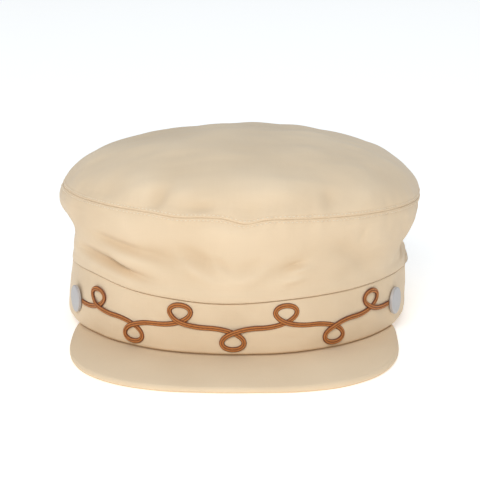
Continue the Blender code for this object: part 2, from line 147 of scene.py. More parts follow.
# Relief beside the crown's seam and along the seam that closes a panel at the back: lengths
# in mm, and the roll's height as a share of the groove's depth
GROOVE_WIDTH = 0.32
ROLL_SHARE = 0.2
ROLL_PLACE = 0.8
ROLL_WIDTH = 0.6
ROW_DIP = 0.14
ROW_DIP_WIDTH = 0.5
PUCKER_START = 1.5
PUCKER_REACH = 6.5
# The width of the painted shade along the crown's seam, in mm
SEAM_SHADE_WIDTH = 0.3
WAVE_START = 6.0
BACK_SEAM_DEPTH = 0.6
BACK_SEAM_WIDTH = 0.5
BACK_ROLL = 0.25
BACK_ROLL_PLACE = 1.3
BACK_ROLL_WIDTH = 1.0

# A stitch's lift over the cloth and its height, as shares of its thickness, the power that
# blunts its ends, its number of sides, and how far ahead its direction is read, in mm
STITCH_LIFT = 0.28
STITCH_TALLNESS = 0.8
STITCH_BLUNTNESS = 0.6
STITCH_SIDES = 8
STITCH_AHEAD = 0.3

# How far the band's outer face swells, in mm, the power that flattens the swelling, and the
# power that squares its top edge
BAND_PUFF = 0.35
BAND_PUFF_POWER = 0.7
BAND_EDGE_POWER = 0.5

# The peak's camber, the line pressed round it and the joint under its rim: lengths in mm,
# angles in radians, and two shares of its depth, over which its waves begin and over which
# its covered root runs out
PEAK_CAMBER = 1.2
PEAK_LINE_DEPTH = 0.15
PEAK_LINE_PLACE = 2.6
PEAK_LINE_WIDTH = 0.5
PEAK_ROOT_HOLD = 0.15
PEAK_COVERED_SPAN = 0.02
PEAK_END_HOLD = 8.0
JOINT_DEPTH = 0.35
RIM_JOINT_BEND = math.radians(-42.0)
RIM_JOINT_SPAN = 0.2

# Painted shade beyond the relief: the rim joint's as a multiple of its depth, the seam's in mm
JOINT_SHADE = 4.0
SEAM_SHADE = 1.8

# The cord's ends under the buttons, in mm, and its section, in shares and a power
TRIM_TUCK = 1.9
TRIM_TUCK_HEIGHT = 0.22
TRIM_END_ROUND = 0.6
TRIM_END_SLOPE = 0.3
TRIM_RISE_START = 0.8
TRIM_RISE_RUN = 1.8
CORD_FLATNESS = 0.4
CORD_DIP = 0.38
CORD_DIP_WIDTH = 0.2

# Small roundings of a button's shank and back disc, in mm
STEM_FLARE = 0.4
BUTTON_BEVEL = 0.2

# The side panel's section: shares of the height and of the spread to the widest level
SIDE_HEIGHTS = (0.00, 0.12, 0.30, 0.45, 0.58, 0.72, 0.88, 1.00)
SIDE_SPREADS = (0.00, -0.07, 0.03, 0.22, 0.46, 0.72, 0.93, 1.00)

# A fold runs between two bearings (degrees) and heights (shares of the side panel). Its
# width and depth are shares of the panel's height, and ridge a share of the depth. These
# are the solids' folds. The first two and the fifth are moved or made shallower a little.
SideFold = namedtuple("SideFold", "bearing_1 height_1 bearing_2 height_2 width depth ridge")
SIDE_FOLDS = (
    SideFold(-68, 0.31, -23, 0.16, 0.080, 0.045, 0.4),
    SideFold(-54, 0.56, -18, 0.46, 0.085, 0.040, 0.5),
    SideFold(-17, 0.64, -3, 0.36, 0.090, 0.030, 0.7),
    SideFold(-3, 0.36, 10, 0.50, 0.080, 0.026, 0.7),
    SideFold(6, 0.22, 25, 0.57, 0.090, 0.030, 0.6),
    SideFold(30, 0.64, 46, 0.44, 0.110, 0.024, 0.7),
    SideFold(68, 0.34, 92, 0.26, 0.100, 0.040, 0.4),
    SideFold(-122, 0.44, -66, 0.50, 0.170, 0.180, 0.0),
    SideFold(112, 0.46, 150, 0.30, 0.110, 0.045, 0.7),
    SideFold(-128, 0.28, -160, 0.50, 0.110, 0.045, 0.7),
    SideFold(166, 0.62, 196, 0.36, 0.120, 0.035, 0.7),
)

# Sharper creases and soft swellings, which the solids leave out
FINE_FOLDS = (
    SideFold(64, 0.74, 116, 0.72, 0.130, -0.026, 0.0),
    SideFold(-66, 0.305, -24, 0.165, 0.055, 0.048, 0.4),
    SideFold(-52, 0.56, -20, 0.47, 0.060, 0.034, 0.5),
    SideFold(-17, 0.64, -3, 0.36, 0.080, 0.024, 0.8),
    SideFold(34, 0.28, 64, 0.44, 0.130, 0.030, 0.7),
    SideFold(112, 0.46, 150, 0.30, 0.080, 0.035, 0.8),
    SideFold(-128, 0.28, -160, 0.50, 0.080, 0.035, 0.8),
    SideFold(166, 0.61, 196, 0.37, 0.090, 0.014, 0.3),
    SideFold(-50, 0.255, -27, 0.18, 0.030, 0.026, 0.4),
    SideFold(-50, 0.56, -30, 0.49, 0.040, 0.012, 0.5),
    SideFold(-32, 0.56, -13, 0.42, 0.140, 0.048, 0.0),
    SideFold(14, 0.36, 23, 0.47, 0.040, 0.034, 0.9),
    SideFold(13, 0.31, 22, 0.33, 0.045, 0.022, 0.8),
    SideFold(43, 0.84, 41, 0.62, 0.040, 0.012, 0.5),
    SideFold(70, 0.16, 84, 0.26, 0.035, 0.016, 0.5),
    SideFold(-6, 0.54, 0, 0.38, 0.045, 0.026, 0.9),
    SideFold(120, 0.72, 128, 0.52, 0.040, 0.014, 0.6),
    SideFold(-100, 0.16, -84, 0.24, 0.040, 0.014, 0.5),
    SideFold(172, 0.20, 186, 0.30, 0.040, 0.014, 0.5),
)

# A puff or dent of the crown's top, in shares of the crown's half width. These are the
# solids' own, apart from the last two, of which one is deeper here and one shallower.
TopPuff = namedtuple("TopPuff", "bearing inward width length lift")
TOP_PUFFS = (
    TopPuff(-33.0, 0.20, 0.085, 0.110, 0.020),
    TopPuff(-26.5, 0.13, 0.045, 0.110, -0.026),
    TopPuff(-18.5, 0.19, 0.085, 0.090, 0.016),
    TopPuff(-11.0, 0.09, 0.080, 0.050, -0.014),
    TopPuff(2.5, 0.09, 0.090, 0.070, -0.014),
    TopPuff(8.0, 0.26, 0.150, 0.110, 0.020),
    TopPuff(29.0, 0.15, 0.060, 0.090, -0.016),
    TopPuff(42.0, 0.14, 0.100, 0.090, 0.010),
    TopPuff(118.0, 0.22, 0.160, 0.120, -0.014),
    TopPuff(-128.0, 0.20, 0.160, 0.120, -0.016),
    TopPuff(168.0, 0.24, 0.180, 0.120, 0.014),
    TopPuff(-136.0, 0.50, 0.420, 0.300, -0.026),
    TopPuff(150.0, 0.55, 0.350, 0.300, -0.005),
)

# Where the seam sags: bearing and spread in degrees, drop as a share of its rise
SeamDip = namedtuple("SeamDip", "bearing spread drop")
SEAM_DIPS = (
    SeamDip(-18.0, 6.0, 0.18),
    SeamDip(2.5, 4.5, 0.42),
    SeamDip(140.0, 14.0, 0.20),
)

# Where the band's top edge rises or sags, which the solids leave out: bearing and spread in
# degrees, rise in mm
BandWave = namedtuple("BandWave", "bearing spread rise")
BAND_WAVES = (
    BandWave(-52.0, 16.0, 2.7),
    BandWave(-3.0, 16.0, -1.6),
    BandWave(-93.0, 14.0, -4.0),
    BandWave(92.0, 27.0, -4.0),
)

# Fields of soft waves: the shortest and the longest wave in mm, their number and a seed
Waves = namedtuple("Waves", "shortest longest count seed")
SEAM_GATHERS = Waves(6.0, 15.0, 7, 31)
CROWN_SWELLS = Waves(22.0, 60.0, 14, 5)
CROWN_RIPPLES = Waves(7.0, 16.0, 16, 6)
BAND_SWELLS = Waves(18.0, 55.0, 12, 11)
BAND_RIPPLES = Waves(5.0, 12.0, 12, 12)
PEAK_SWELLS = Waves(25.0, 70.0, 12, 21)

# Heights of those waves, as shares of the canvas's unevenness
CROWN_RIPPLE_SHARE = 0.22
BAND_SWELL_SHARE = 0.55
BAND_RIPPLE_SHARE = 0.16
PEAK_SWELL_SHARE = 0.30

# Rows of the cloth grids, as runs from one level to the next with a number of steps
SIDE_RUNS = ((-1.0, -0.2, 4), (-0.2, 0.0, 5), (0.0, 1.0, 58), (1.0, 1.6, 10), (1.6, 2.0, 20))
TOP_RUNS = ((2.0, 2.05, 20), (2.05, 2.30, 26), (2.30, 2.96, 40), (2.96, 3.0, 3))

# Columns of those grids, and the numbers of rows, columns and points of the others
CLOTH_COLUMNS = 360
BAND_COLUMNS = 360
BAND_OUTER_ROWS = 30
BAND_TOP_ROWS = 24
BAND_INNER_ROWS = 10
BAND_FOOT_ROWS = 12
PEAK_COLUMNS = 180
PEAK_UNDER_ROWS = 26
PEAK_RIM_ROWS = 42
PEAK_ABOVE_ROWS = 71
LOOP_POINTS = 72
LEAD_POINTS = 20
TRIM_SAMPLES = 721
CORD_TOP_POINTS = 19
CORD_FOOT_POINTS = 5
TURN_STEPS = 72

# The power that crowds the peak's upper rows at its rim
PEAK_ROW_CROWDING = 1.4

# Where the peak's end is searched for, in radians, and how often a search is halved
PEAK_END_RANGE = (math.radians(60.0), math.radians(130.0))
HALVINGS = 50

# The camera's sensor in mm, and the floor and the lights in metres, with their colours
SENSOR_WIDTH = 36.0
FLOOR_HALF_SIZE = 4.0
KEY_PLACE = (-0.27, -1.44, 1.1)
KEY_SIZE = (0.7, 0.5)
KEY_TINT = (1.0, 0.985, 0.96)
TOP_PLACE = (0.1, 0.5, 1.6)
TOP_SIZE = (1.6, 1.6)
TOP_TINT = (0.62, 0.80, 1.0)
ROOM_TINT = (0.94, 0.97, 1.0, 1.0)
GLOW_TINT = (1.0, 0.98, 0.95, 1.0)

# Colour of the soft sheen on the canvas
SHEEN_TINT = (0.86, 0.92, 1.0, 1.0)


def smooth_step(value):
    """Rise smoothly from 0 to 1 as the values do."""
    value = np.clip(value, 0.0, 1.0)
    return value * value * (3.0 - 2.0 * value)


def bump(distance, width):
    """A smooth hump of height 1 round a distance of 0."""
    return np.exp(-((distance / width) ** 2))


def smooth_between(xs, ys, x):
    """Read a table smoothly: a cubic piece between each two rows."""
    xs, ys = np.array(xs), np.array(ys)
    slopes = np.gradient(ys, xs)
    row = np.clip(np.searchsorted(xs, x) - 1, 0, len(xs) - 2)
    step = xs[row + 1] - xs[row]
    part = (x - xs[row]) / step
    ease = part * part * (3.0 - 2.0 * part)
    leave = part * (1.0 - part) ** 2 * slopes[row]
    arrive = part * part * (part - 1.0) * slopes[row + 1]
    return ys[row] + (ys[row + 1] - ys[row]) * ease + step * (leave + arrive)


def levels_of(runs):
    """The levels of a grid's rows, from its runs."""
    parts = [np.linspace(start, end, steps, endpoint=False) for start, end, steps in runs]
    return np.concatenate(parts + [[runs[-1][1]]])


def unit(vectors):
    """Vectors brought to length 1."""
    return vectors / np.maximum(np.linalg.norm(vectors, axis=-1, keepdims=True), 1e-9)


def uneven(places, waves):
    """A smooth random field of about -1 to 1, a sum of seeded plane waves."""
    chance = np.random.default_rng(waves.seed)
    total = np.zeros(places.shape[:-1])
    for _ in range(waves.count):
        way = unit(chance.normal(size=3))
        length = chance.uniform(waves.shortest, waves.longest)
        total += np.sin(places @ way * (math.tau / length) + chance.uniform(0.0, math.tau))
    return total / math.sqrt(waves.count)


def plan_curve(bearing, half_width, half_length, power):
    """Points of a superellipse at bearings from the front."""
    across, along = np.sin(bearing), np.cos(bearing)
    x = half_width * np.sign(across) * np.abs(across) ** (2.0 / power)
    y = -half_length * np.sign(along) * np.abs(along) ** (2.0 / power)
    return np.stack((x, y, np.zeros_like(x)), axis=-1)


def plan_outward(points, half_width, half_length, power):
    """The outward directions of a superellipse at its points."""
    x = np.sign(points[..., 0]) * np.abs(points[..., 0] / half_width) ** (power - 1.0) / half_width
    y = np.sign(points[..., 1]) * np.abs(points[..., 1] / half_length) ** (power - 1.0) / half_length
    return unit(np.stack((x, y, np.zeros_like(x)), axis=-1))


def band_wall(bearing, inset=0.0):
    """Points of the band's outer wall, or of a wall inside it, and their outward directions."""
    outline = (BAND_HALF_WIDTH, BAND_HALF_LENGTH, BAND_POWER)
    points = plan_curve(bearing, *outline)
    outward = plan_outward(points, *outline)
    return points - outward * inset, outward


def band_top(bearing):
    """The height of the band's top edge, lower at the front than at the back."""
    back_share = 0.5 - 0.5 * np.cos(bearing)
    height = BAND_FRONT_HEIGHT + (BAND_BACK_HEIGHT - BAND_FRONT_HEIGHT) * back_share
    for wave in BAND_WAVES:
        height = height + wave.rise * bump(degrees_apart(bearing, wave.bearing), wave.spread)
    return height


def degrees_apart(bearing, degrees):
    """The turn from a bearing in degrees to others in radians, within half a turn."""
    return (np.degrees(bearing) - degrees + 180.0) % 360.0 - 180.0


def seam_rise(bearing):
    """The seam's height over the widest level, with its sags."""
    rise = np.full_like(bearing, SEAM_RISE)
    for dip in SEAM_DIPS:
        rise -= SEAM_RISE * dip.drop * bump(degrees_apart(bearing, dip.bearing), dip.spread)
    return rise


def crown_base(bearing, level):
    """Points of the crown before its folds. Level -1 is the tucked edge, 0 the lip over the
    band's edge, 1 the widest level, 2 the seam and 3 the top of the dome."""
    tucked = plan_curve(bearing, BAND_HALF_WIDTH - TUCK_INSET, BAND_HALF_LENGTH - TUCK_INSET, BAND_POWER)
    lip = plan_curve(bearing, BAND_HALF_WIDTH - LIP_INSET, BAND_HALF_LENGTH - LIP_INSET, BAND_POWER)
    widest = plan_curve(bearing, CROWN_HALF_WIDTH, CROWN_HALF_LENGTH, CROWN_POWER)
    widest[..., 0] += CROWN_SIDE_OFFSET
    crease_height = band_top(bearing) + PIECE_GAP
    lip_height = crease_height + LIP_LIFT

    tuck_part = (level + 1.0) / (CREASE_ROW + 1.0)
    hidden = tucked.copy()
    hidden[..., 2] = crease_height - (1.0 - tuck_part) * TUCK_DEPTH

    lip_part = 1.0 - level / CREASE_ROW
    over = tucked + (lip - tucked) * lip_part[..., None]
    over[..., 2] = crease_height + lip_part * LIP_LIFT

    inner_level = np.clip(level, 0.0, 1.0)
    spread = smooth_between(SIDE_HEIGHTS, SIDE_SPREADS, inner_level)
    side = lip + (widest - lip) * spread[..., None]
    side[..., 2] = lip_height + inner_level * (WIDEST_HEIGHT - lip_height)

    seam_angle = np.arcsin((seam_rise(bearing) / DOME_RISE) ** (DOME_POWER / 2.0))
    below = (level - 1.0) * seam_angle
    above = seam_angle + (level - 2.0) * (math.pi / 2.0 - seam_angle)
    angle = np.clip(np.where(level <= 2.0, below, above), 0.0, math.pi / 2.0)
    dome = widest * (np.maximum(np.cos(angle), 0.0) ** (2.0 / DOME_POWER))[..., None]
    dome[..., 0] += DOME_SIDE_OFFSET * np.sin(angle) + DOME_RIGHT_WIDTH * np.sin(2.0 * angle)
    dome[..., 2] = WIDEST_HEIGHT + DOME_RISE * np.sin(angle) ** (2.0 / DOME_POWER)

    place = np.where((level <= 1.0)[..., None], side, dome)
    lean = inner_level
    place[..., 2] -= lean * FRONT_LIFT * place[..., 1] / CROWN_HALF_LENGTH
    place[..., 2] -= lean * RIGHT_DROP * place[..., 0] / CROWN_HALF_WIDTH
    place = np.where((level <= 0.0)[..., None], over, place)
    return np.where((level <= CREASE_ROW)[..., None], hidden, place)


def crown_outward(bearing, level):
    """The crown's outward directions, folds left aside."""
    step = 0.002
    inner = np.minimum(level, 3.0 - step)
    around = crown_base(bearing + step, inner) - crown_base(bearing - step, inner)
    upward = crown_base(bearing, inner + step / 2.0) - crown_base(bearing, inner - step / 2.0)
    return unit(np.cross(around, upward))


def fold_shift(folds, bearing, share):
    """How far a list of folds moves the side panel outwards."""
    shift = np.zeros_like(bearing)
    for fold in folds:
        run = math.radians(fold.bearing_2 - fold.bearing_1) * CROWN_HALF_WIDTH
        climb = (fold.height_2 - fold.height_1) * SIDE_HEIGHT
        length = math.hypot(run, climb)
        middle = (fold.bearing_1 + fold.bearing_2) / 2.0
        x = np.radians(degrees_apart(bearing, middle)) * CROWN_HALF_WIDTH
        y = (share - (fold.height_1 + fold.height_2) / 2.0) * SIDE_HEIGHT
        along = (x * run + y * climb) / length / (length / 2.0)
        across = (y * run - x * climb) / length / math.copysign(fold.width * SIDE_HEIGHT, run)
        fade = np.cos(np.clip(np.abs(along) / FOLD_OVERRUN, 0.0, 1.0) * math.pi / 2.0) ** 2
        crease = bump(across, 1.0)
        ridge = fold.ridge * bump(across + FOLD_RIDGE_PLACE, 1.0)
        shift += (ridge - crease) * fade * fold.depth * SIDE_HEIGHT
    return shift


def puff_shift(bearing, level, radius):
    """How far the puffs and dents move the crown's top outwards."""
    shift = np.zeros_like(bearing)
    for puff in TOP_PUFFS:
        x = np.radians(degrees_apart(bearing, puff.bearing)) * radius
        y = (level - 2.0 - puff.inward) * CROWN_HALF_WIDTH
        off = np.hypot(x / (puff.width * CROWN_HALF_WIDTH), y / (puff.length * CROWN_HALF_WIDTH))
        shift += puff.lift * CROWN_HALF_WIDTH * bump(off, 1.0)
    return shift


def column_lengths(points):
    """The distance of each grid point from its column's first row, along the cloth."""
    steps = np.linalg.norm(np.diff(points, axis=0), axis=-1)
    return np.concatenate((np.zeros((1, points.shape[1])), np.cumsum(steps, axis=0)))


def row_lengths(points):
    """The distance of each point of a row from its first one."""
    steps = np.linalg.norm(np.diff(points, axis=0), axis=-1)
    return np.concatenate(([0.0], np.cumsum(steps)))


def inner_face(points, wall):
    """The inner face of a cloth ring whose last column lies on its first."""
    ring = points[:, :-1]
    around = np.roll(ring, -1, axis=1) - np.roll(ring, 1, axis=1)
    around = np.concatenate((around, around[:, :1]), axis=1)
    return points - unit(np.cross(around, np.gradient(points, axis=0))) * wall


def seam_relief(settings, distance, seam):
    """How the cloth dips and rolls beside a topstitched seam, with its puckers."""
    groove = -settings.groove_mm * bump(distance, GROOVE_WIDTH)
    roll = ROLL_SHARE * settings.groove_mm * bump(distance - ROLL_PLACE, ROLL_WIDTH)
    row = -ROW_DIP * bump(distance - settings.row_mm, ROW_DIP_WIDTH)
    fade = np.exp(-distance / PUCKER_REACH) * smooth_step(distance / PUCKER_START)
    return groove + roll + row + settings.pucker_mm * uneven(seam, SEAM_GATHERS) * fade


def left_lean(bearing, height):
    """How far the cloth leans inwards on the left, where it is pinched, from the band up."""
    reach = bump(degrees_apart(bearing, LEAN_BEARING), LEAN_SPREAD)
    return -LEFT_LEAN * reach * smooth_step((height - LEAN_START) / LEAN_CLIMB)


def overhang(bearing):
    """The share of the overhang at a bearing: least at the front and the left."""
    turn = degrees_apart(bearing, 0.0)
    right = smooth_step((turn - RIGHT_HANG_START) / RIGHT_HANG_TURN)
    left = smooth_step((-turn - LEFT_HANG_START) / LEFT_HANG_TURN)
    return FRONT_SHARE + (1.0 - FRONT_SHARE) * (right + left)


def back_seam(bearing, half_width):
    """The dip of the seam that closes a panel at the back."""
    off = np.abs(np.radians(degrees_apart(bearing, 180.0))) * half_width
    roll = BACK_ROLL * bump(off - BACK_ROLL_PLACE, BACK_ROLL_WIDTH)
    return roll - BACK_SEAM_DEPTH * bump(off, BACK_SEAM_WIDTH)


def close_ends(grid):
    """Add a column at each end of a grid, gathered into the middle of the end's section."""
    first, last = (np.broadcast_to(end.mean(axis=0), end.shape) for end in (grid[:, :1], grid[:, -1:]))
    return np.concatenate((first, grid, last), axis=1)


def outward_level(outward):
    """Outward directions brought down to the horizontal."""
    return unit(outward * (1.0, 1.0, 0.0))


def read_line(line, lengths, at):
    """The point of a line at a length along it."""
    return np.array([np.interp(at, lengths, line[:, axis]) for axis in range(3)])


def row_point(distance, points, row):
    """The point of a column of cloth at a distance from the seam."""
    order = np.argsort(distance)
    return read_line(points[order], distance[order], row)


def resting_place():
    """The turn and the shift that set the cap's own frame down where the solids stand."""
    low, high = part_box("band")
    turn = np.array(Matrix.Rotation(-REST_TILT, 3, "X"))
    reach = BAND_HALF_LENGTH * MM
    shift = ((low.x + high.x) / 2.0, low.y + reach * math.cos(REST_TILT), reach * math.sin(REST_TILT))
    return turn, np.array(shift)


def to_world(points):
    """Points of the cap's own frame, in metres, where the solids stand."""
    turn, shift = resting_place()
    return points * MM @ turn.T + shift


def store(mesh, name, kind, values):
    """Keep values at a mesh's vertices for its material to read."""
    layer = mesh.attributes.new(name, kind, "POINT")
    layer.data.foreach_set("vector" if kind == "FLOAT_VECTOR" else "value", np.ravel(values))


def grid_mesh(name, points, thread, relief):
    """A grid of rows and columns of points, with the run of its threads and its relief."""
    rows, columns = points.shape[0] - 1, points.shape[1] - 1
    work = bmesh.new()
    bmesh.ops.create_grid(work, x_segments=columns, y_segments=rows, size=0.5)
    mesh = bpy.data.meshes.new(name)
    work.to_mesh(mesh)
    work.free()
    flat = np.empty(len(mesh.vertices) * 3)
    mesh.vertices.foreach_get("co", flat)
    flat = flat.reshape(-1, 3) + 0.5
    column = np.rint(flat[:, 0] * columns).astype(int)
    row = np.rint(flat[:, 1] * rows).astype(int)
    mesh.vertices.foreach_set("co", np.ravel(to_world(points[row, column])))
    store(mesh, "thread", "FLOAT_VECTOR", thread[row, column])
    store(mesh, "relief", "FLOAT", relief[row, column])
    mesh.update()
    mesh.shade_smooth()
    return mesh


def weld(mesh, distance=2e-6):
    """Join the two ends of a grid that closes on itself."""
    work = bmesh.new()
    work.from_mesh(mesh)
    bmesh.ops.remove_doubles(work, verts=work.verts, dist=distance)
    work.to_mesh(mesh)
    work.free()
    mesh.shade_smooth()


def show(name, data, finish, nodes):
    """Put a piece in the scene in place of solids, and let it ride with the cap."""
    piece = bpy.data.objects.new(name, data)
    bpy.context.scene.collection.objects.link(piece)
    piece.data.materials.append(finish)
    if nodes:
        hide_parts(*nodes)
    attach(piece, "root")
    return piece


def thicken(piece, wall):
    """Give a cloth surface its wall, on the inner side."""
    shell = piece.modifiers.new("wall", "SOLIDIFY")
    shell.thickness = wall * MM
    shell.offset = -1.0


class Value:
    """A shader socket in a formula. Each operator adds the Math node that it needs."""

    def __init__(self, finish, socket):
        self.finish = finish
        self.socket = socket

    def __add__(self, other):
        return self.finish.math("ADD", self, other)

    def __sub__(self, other):
        return self.finish.math("SUBTRACT", self, other)

    def __rsub__(self, other):
        return self.finish.math("SUBTRACT", other, self)

    def __mul__(self, other):
        return self.finish.math("MULTIPLY", self, other)

    def __gt__(self, other):
        return self.finish.math("GREATER_THAN", self, other)

    def __abs__(self):
        return self.finish.math("ABSOLUTE", self)

    def sin(self):
        return self.finish.math("SINE", self)

    def clamp(self):
        return self.finish.math("MAXIMUM", self.finish.math("MINIMUM", self, 1.0), 0.0)

    __radd__ = __add__
    __rmul__ = __mul__


class Finish:
    """A material in the making, with one Principled shader."""

    def __init__(self, name, **constants):
        self.material = bpy.data.materials.new(name)
        self.material.use_nodes = True
        self.tree = self.material.node_tree
        self.shader = self.tree.nodes["Principled BSDF"]
        self.feed(self.shader, {key.replace("_", " "): value for key, value in constants.items()})

    def feed(self, node, inputs):
        """Set or link the sockets of a node."""
        for name, value in inputs.items():
            socket = node.inputs[name]
            if isinstance(value, Value):
                self.tree.links.new(value.socket, socket)
            else:
                socket.default_value = value

    def node(self, kind, settings=None, inputs=None, output=0):
        """Add a node of a kind with its settings, then its sockets, and give one output."""
        made = self.tree.nodes.new(kind)
        for name, value in (settings or {}).items():
            setattr(made, name, value)
        self.feed(made, inputs or {})
        return Value(self, made.outputs[output])

    def math(self, operation, *values):
        """A Math node on one value or more."""
        return self.node("ShaderNodeMath", {"operation": operation}, dict(enumerate(values)))

    def mix(self, factor, first, second):
        """A colour between two colours."""
        inputs = {0: factor, 6: first, 7: second}
        return self.node("ShaderNodeMix", {"data_type": "RGBA"}, inputs, output=2)

    def attribute(self, name, output):
        """What a mesh keeps at its vertices."""
        return self.node("ShaderNodeAttribute", {"attribute_name": name}, output=output)

    def parts(self, vector):
        """The three parts of a vector."""
        split = self.tree.nodes.new("ShaderNodeSeparateXYZ")
        self.feed(split, {"Vector": vector})
        return [Value(self, socket) for socket in split.outputs]

    def vector(self, x, y, z=0.0):
        """A vector of three values."""
        return self.node("ShaderNodeCombineXYZ", None, {"X": x, "Y": y, "Z": z})

    def noise(self, place, scale, detail=2.0):
        """Noise from 0 to 1 at a place."""
        return self.node("ShaderNodeTexNoise", None, {"Vector": place, "Scale": scale, "Detail": detail})

    def raise_by(self, height, distance, strength=1.0):
        """Bump the surface by a height from 0 to 1 over a distance in metres."""
        inputs = {"Height": height, "Distance": distance, "Strength": strength}
        self.feed(self.shader, {"Normal": self.node("ShaderNodeBump", None, inputs)})


def colour(values):
    """A property's colour with its alpha."""
    return (*values, 1.0)


def canvas_finish(name, canvas, sheen=0.2):
    """Plain-woven cotton canvas: weave, slubs, mottling, painted highlight on ridges, painted shade in
    creases.
    """
    made = Finish(name, Sheen_Weight=sheen, Sheen_Roughness=0.35, IOR=1.4)
    made.feed(made.shader, {"Sheen Tint": SHEEN_TINT, "Specular IOR Level": 0.25})
    along, across, _ = made.parts(made.attribute("thread", "Vector"))
    relief = made.attribute("relief", "Fac")
    place = made.node("ShaderNodeTexCoord", output="Object")

    turns = math.pi / canvas.thread_mm
    warp = (along * turns).sin()
    weft = (across * turns).sin()
    over = warp * weft > 0.0
    weave = abs(warp) * over + abs(weft) * (1.0 - over)
    slub_1 = made.noise(made.vector(along * 0.05, across * 1.3), 1.0)
    slub_2 = made.noise(made.vector(along * 1.3, across * 0.05, 7.0), 1.0)
    slubs = (slub_1 + slub_2) * 0.5
    mottle = made.noise(place, 28.0, 3.0)
    fuzz = made.noise(place, 2600.0, 1.0)

    # Mottle, slubs and weave are the canvas's own tone; the relief's share is painted highlight on
    # ridges and painted shade in creases, seams and joints
    tone = 0.62 + (mottle - 0.5) * 0.7 + (slubs - 0.5) * 0.25 + (weave - 0.6) * 0.12 + relief * 0.2
    base = made.mix(tone.clamp(), colour(canvas.dark), colour(canvas.light))
    rough = 0.86 + (fuzz - 0.5) * 0.12 + (slubs - 0.5) * 0.1
    made.feed(made.shader, {"Base Color": base, "Roughness": rough.clamp()})
    made.raise_by(weave * 0.55 + slubs * 0.25 + fuzz * 0.2, canvas.weave_depth_mm * MM, 0.6)
    return made.material


def stitch_finish(name, stitch):
    """Twisted sewing thread."""
    made = Finish(name, Sheen_Weight=0.3, Sheen_Roughness=0.3)
    along, around, _ = made.parts(made.attribute("thread", "Vector"))
    twist = (along * 9.0 + around).sin() * 0.5 + 0.5
    base = made.mix(twist, colour([part * 0.86 for part in stitch.thread]), colour(stitch.thread))
    made.feed(made.shader, {"Base Color": base, "Roughness": 0.55 + twist * 0.15})
    made.raise_by(twist, 0.00006)
    return made.material


def cord_finish(name, cord):
    """Satin-stitched cord: painted highlight on its two ridges, painted shade in the dip, dark edges,
    fine stitches.
    """
    made = Finish(name, Sheen_Weight=0.0)
    along, across, _ = made.parts(made.attribute("thread", "Vector"))
    edge = abs(across)
    stitch = ((along + edge * 0.35) * (math.tau / cord.stitch_mm)).sin() * 0.5 + 0.5
    drift = made.noise(made.vector(along * 0.6, across * 0.8), 1.0, 3.0)
    # Paler on the two ridges, a painted highlight, and darker in the dip between them, painted shade,
    # and at the edges
    ridge = 1.0 - abs(edge - 0.45) * 2.1
    pale = (ridge * 0.9 + stitch * 0.28 + (drift - 0.5) * 0.6 - 0.1).clamp()
    base = made.mix(pale, colour(cord.dark), colour(cord.light))
    made.feed(made.shader, {"Base Color": base, "Roughness": 0.5 + drift * 0.2})
    made.raise_by(stitch * 0.7 + drift * 0.3, 0.00012)
    return made.material


def metal_finish(name, button):
    """Satin grey metal with fine turning marks and faint handling marks."""
    made = Finish(name, Metallic=0.15)
    x, y, _ = made.parts(made.attribute("thread", "Vector"))
    radius = made.math("SQRT", x * x + y * y)
    rings = made.noise(made.vector(radius * 14.0, 0.0), 1.0, 1.0)
    marks = made.noise(made.vector(x * 0.25, y * 0.25), 1.0, 4.0)
    grey = colour(button.grey)
    dull = colour([part * 0.82 for part in button.grey])
    base = made.mix(((marks - 0.5) * 1.4 + 0.55).clamp(), dull, grey)
    made.feed(made.shader, {"Base Color": base, "Roughness": 0.42 + rings * 0.12 + (marks - 0.5) * 0.2})
    made.raise_by(rings * 0.4 + marks * 0.6, 0.00004)
    return made.material


def floor_finish(name, stage):
    """A plain pale floor."""
    made = Finish(name, Emission_Strength=stage.floor_glow)
    made.feed(made.shader, {"Emission Color": GLOW_TINT, "Specular IOR Level": 0.1})
    grain = made.noise(made.node("ShaderNodeTexCoord", output="Object"), 60.0)
    base = made.mix(grain, colour([part * 0.99 for part in stage.floor]), colour(stage.floor))
    made.feed(made.shader, {"Base Color": base, "Roughness": 0.9})
    return made.material


class CapCanvas(bpy.types.PropertyGroup):
    """Colours and threads of the cotton canvas."""

    # Ends of the canvas's tone: its random mottle, slubs and weave are its own colour, while paler on
    # ridges and darker in creases is painted highlight and painted shade
    light: FloatVectorProperty(
        name="Light", description="Canvas on the ridges and the high spots",
        default=(0.89, 0.71, 0.50), subtype="COLOR", min=0.0, max=1.0)
    dark: FloatVectorProperty(
        name="Dark", description="Canvas in the creases and the low spots",
        default=(0.76, 0.58, 0.385), subtype="COLOR", min=0.0, max=1.0)
    thread_mm: FloatProperty(
        name="Thread spacing", description="Distance between two threads, in millimetres",
        default=0.38, min=0.1, max=2.0)
    weave_depth_mm: FloatProperty(
        name="Weave depth", description="Height of the weave, in millimetres",
        default=0.06, min=0.0, max=0.5)
    uneven_mm: FloatProperty(
        name="Unevenness", description="How far soft waves move the cloth, in millimetres",
        default=0.6, min=0.0, max=2.0)


